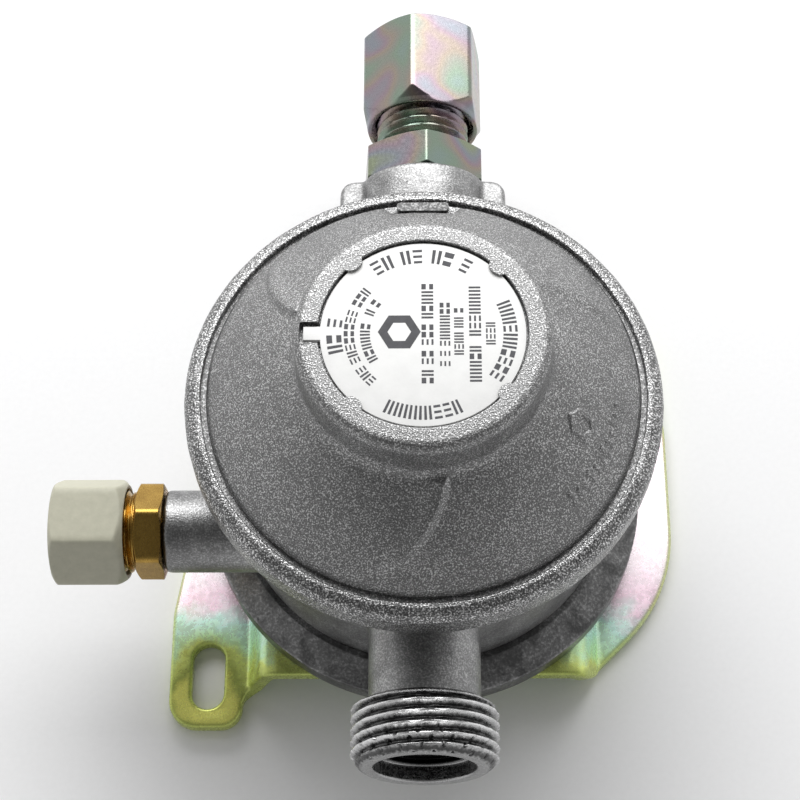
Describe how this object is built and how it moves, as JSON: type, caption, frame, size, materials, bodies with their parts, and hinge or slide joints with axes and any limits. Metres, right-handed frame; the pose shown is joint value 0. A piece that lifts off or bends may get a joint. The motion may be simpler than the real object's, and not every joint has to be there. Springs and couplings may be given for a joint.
{
  "type": "two-stage gas regulator on wall bracket",
  "caption": "Round two-stage low-pressure gas regulator on a slotted wall bracket, with threaded inlet, compression outlet nut and a capped side test port.",
  "frame": {"origin": "middle of the part's outer box, on the wall face of the bracket", "axes": "+Z away from the wall along the regulator's main axis, +Y towards the outlet, -X towards the side test port"},
  "size_m": [0.0896, 0.1168, 0.063],
  "materials": {
    "cast_body": "bare sandblasted die casting with fine bright grain",
    "cast_bonnet": "darker sandblasted die casting with sparkling grain",
    "bracket_steel": "iridescent yellow, pink and green zinc passivation",
    "passivated_steel": "iridescent zinc passivation over turned and milled steel",
    "brass": "turned yellow brass",
    "beige_plastic": "moulded greyish beige plastic",
    "label_white": null,
    "spring_steel": "drawn spring wire",
    "plain_steel": "bright zinc-plated steel",
    "black_rubber": "matt black nitrile rubber",
    "sintered_bronze": "porous sintered bronze",
    "dark_plastic": "moulded dark plastic"
  },
  "bodies": {
    "regulator_body": {"body": "cast_body", "first_stage_cover": "cast_body", "bonnet": "cast_bonnet", "bracket": "bracket_steel", "outlet_fitting": "passivated_steel", "test_nipple": "brass", "first_stage_nozzle": "brass", "second_stage_nozzle": "brass", "label_disc": "label_white", "main_spring": "spring_steel", "first_stage_spring": "spring_steel", "poppet_spring": "spring_steel", "lever_pin": "spring_steel", "bracket_screw_rear_right": "plain_steel", "bracket_screw_rear_left": "plain_steel", "bracket_screw_front_left": "plain_steel", "bracket_screw_front_right": "plain_steel", "lever_frame": "plain_steel", "lever_screw_front": "plain_steel", "lever_screw_rear": "plain_steel", "outlet_ferrule": "plain_steel", "diaphragm": "black_rubber", "first_stage_diaphragm": "black_rubber", "outlet_seal": "black_rubber", "inlet_filter": "sintered_bronze", "vent_filter": "sintered_bronze"},
    "outlet_nut": {"outlet_nut": "passivated_steel"},
    "test_cap": {"test_cap": "beige_plastic", "test_seal": "black_rubber"},
    "adjuster": {"adjusting_screw": "dark_plastic"},
    "diaphragm_stack": {"diaphragm_plate": "plain_steel", "diaphragm_stem": "plain_steel", "relief_spring": "spring_steel", "relief_nut": "brass"},
    "lever": {"lever": "plain_steel"},
    "valve": {"valve_carrier": "brass", "valve_pad": "black_rubber"},
    "first_stage_stack": {"first_stage_plate": "brass", "first_stage_spring_seat": "plain_steel"},
    "poppet": {"first_stage_poppet": "brass", "poppet_seal": "black_rubber"}
  },
  "joints": [
    {"name": "outlet_nut_turn", "type": "hinge", "parent": "regulator_body", "child": "outlet_nut", "pos_m": [0.00685, 0.0497, 0.0265], "axis": [0, 1, 0], "continuous": true},
    {"name": "test_cap_turn", "type": "hinge", "parent": "regulator_body", "child": "test_cap", "pos_m": [-0.04015, -0.0245, 0.0265], "axis": [-1, 0, 0], "continuous": true},
    {"name": "adjuster_turn", "type": "hinge", "parent": "regulator_body", "child": "adjuster", "pos_m": [0.00685, -0.0123, 0.0585], "axis": [0, 0, 1], "range_deg": [-540, 540]},
    {"name": "diaphragm_slide", "type": "slide", "parent": "regulator_body", "child": "diaphragm_stack", "axis": [0, 0, 1], "range_m": [0, 0.002], "stiffness_N_per_m": 1500, "deforming": ["main_spring", "diaphragm"]},
    {"name": "lever_turn", "type": "hinge", "parent": "regulator_body", "child": "lever", "pos_m": [0.01685, -0.0123, 0.0413], "axis": [0, 1, 0], "range_deg": [0, 11.6]},
    {"name": "valve_slide", "type": "slide", "parent": "regulator_body", "child": "valve", "axis": [0, 0, 1], "range_m": [-0.00121, 0]},
    {"name": "first_stage_slide", "type": "slide", "parent": "regulator_body", "child": "first_stage_stack", "axis": [0, 0, 1], "range_m": [-0.00045, 0], "stiffness_N_per_m": 6000, "deforming": ["first_stage_spring", "first_stage_diaphragm"]},
    {"name": "poppet_slide", "type": "slide", "parent": "regulator_body", "child": "poppet", "axis": [0, 0, 1], "range_m": [-0.00046, 0], "deforming": ["poppet_spring"]}
  ],
  "couplings": [
    {"joint": "lever_turn", "follows": "diaphragm_slide", "rad_per_m": 100},
    {"joint": "valve_slide", "follows": "diaphragm_slide", "ratio": -0.6},
    {"joint": "poppet_slide", "follows": "first_stage_slide", "ratio": 1}
  ]
}
